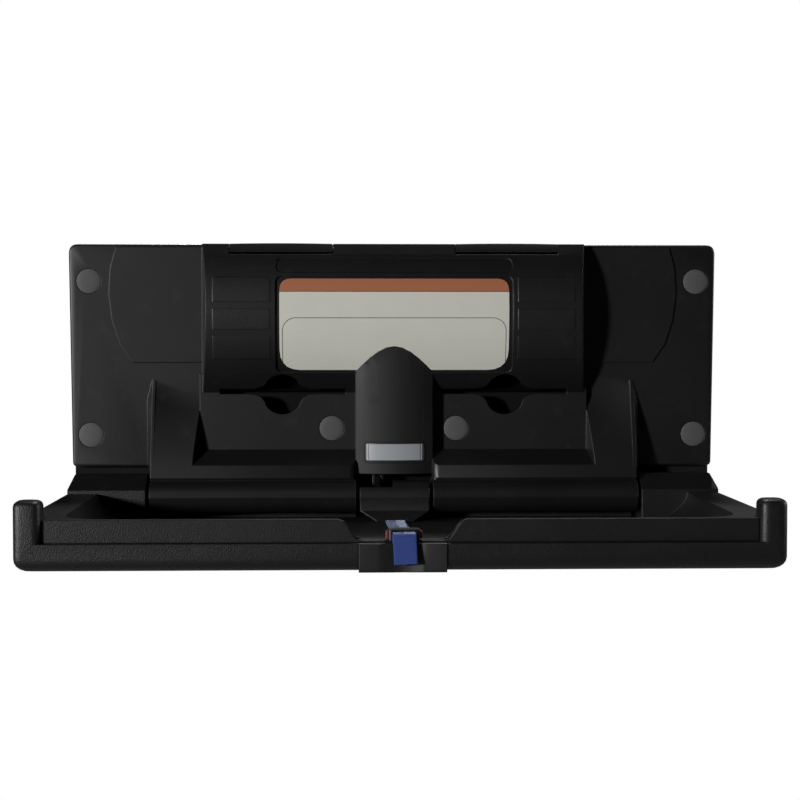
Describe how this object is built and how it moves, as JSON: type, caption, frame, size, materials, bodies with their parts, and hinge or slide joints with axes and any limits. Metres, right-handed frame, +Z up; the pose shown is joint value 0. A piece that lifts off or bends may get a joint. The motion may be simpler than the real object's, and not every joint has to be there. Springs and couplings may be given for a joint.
{
  "type": "wall-mounted baby changing station",
  "caption": "Wall-mounted baby changing station with a fold-down concave bed, bulged liner store with lids, gas strut column and buckled safety strap.",
  "frame": {"origin": "middle of the back face that stands on the wall", "axes": "+Z up, +Y into the wall, +X to the right of someone who faces the wall"},
  "size_m": [0.895, 0.4141, 0.3993],
  "materials": {
    "moulding": "smooth black moulding",
    "grained": "fine-grained black moulding",
    "pull": "satin black",
    "bin": "plain black",
    "cap": "grey moulding",
    "label": "satin sheet",
    "badge": "silvered sheet",
    "steel": "bright zinc plate",
    "nylon": "nylon",
    "strut": "black lacquer",
    "webbing": "woven",
    "buckle": "satin black",
    "prong": "red moulding"
  },
  "bodies": {
    "wall_unit": {"wall_shell": "moulding", "back_plate": "moulding", "liner_bin_left": "bin", "liner_bin_right": "bin", "lid_pin_left": "steel", "lid_pin_right": "steel", "hinge_bush_inner_left": "nylon", "hinge_bush_inner_right": "nylon", "hinge_bush_outer_left": "nylon", "hinge_bush_outer_right": "nylon", "screw_cap_1": "cap", "screw_cap_2": "cap", "screw_cap_3": "cap", "screw_cap_4": "cap", "screw_cap_5": "cap", "screw_cap_6": "cap", "label_plate": "label", "badge_plate": "badge", "hinge_rod": "steel", "strut_bracket": "steel", "strut_pin": "steel", "gas_cylinder": "strut"},
    "lid_left": {"liner_lid_left": "moulding"},
    "lid_right": {"liner_lid_right": "moulding"},
    "strut_rod": {"gas_rod": "steel", "rod_clevis": "strut", "clevis_pin": "strut"},
    "bed": {"door_shell": "grained", "bed_pan": "grained", "pull_block": "pull", "crank_arm": "strut", "rod_plug_left": "nylon", "rod_plug_right": "nylon", "bed_strap": "webbing", "tail_strap": "webbing", "anchor_strap": "webbing", "buckle_body": "buckle", "buckle_tongue": "buckle"},
    "prong_left": {"release_prong_left": "prong"},
    "prong_right": {"release_prong_right": "prong"}
  },
  "joints": [
    {"name": "bed_fold", "type": "hinge", "parent": "wall_unit", "child": "bed", "pos_m": [0, -0.055, -0.145], "axis": [-1, 0, 0], "range_deg": [0, 90]},
    {"name": "strut_slide", "type": "slide", "parent": "wall_unit", "child": "strut_rod", "axis": [0, 0, -1], "range_m": [0, 0.04]},
    {"name": "lid_left_hinge", "type": "hinge", "parent": "wall_unit", "child": "lid_left", "pos_m": [-0.1535, -0.017, 0.191], "axis": [-1, 0, 0], "range_deg": [0, 80]},
    {"name": "lid_right_hinge", "type": "hinge", "parent": "wall_unit", "child": "lid_right", "pos_m": [0.1535, -0.017, 0.191], "axis": [-1, 0, 0], "range_deg": [0, 80]},
    {"name": "prong_left_press", "type": "slide", "parent": "bed", "child": "prong_left", "axis": [1, 0, 0], "range_m": [0, 0.0025], "stiffness_N_per_m": 800},
    {"name": "prong_right_press", "type": "slide", "parent": "bed", "child": "prong_right", "axis": [-1, 0, 0], "range_m": [0, 0.0025], "stiffness_N_per_m": 800}
  ],
  "couplings": [
    {"joint": "strut_slide", "follows": "bed_fold", "m_per_rad": 0.02521}
  ]
}
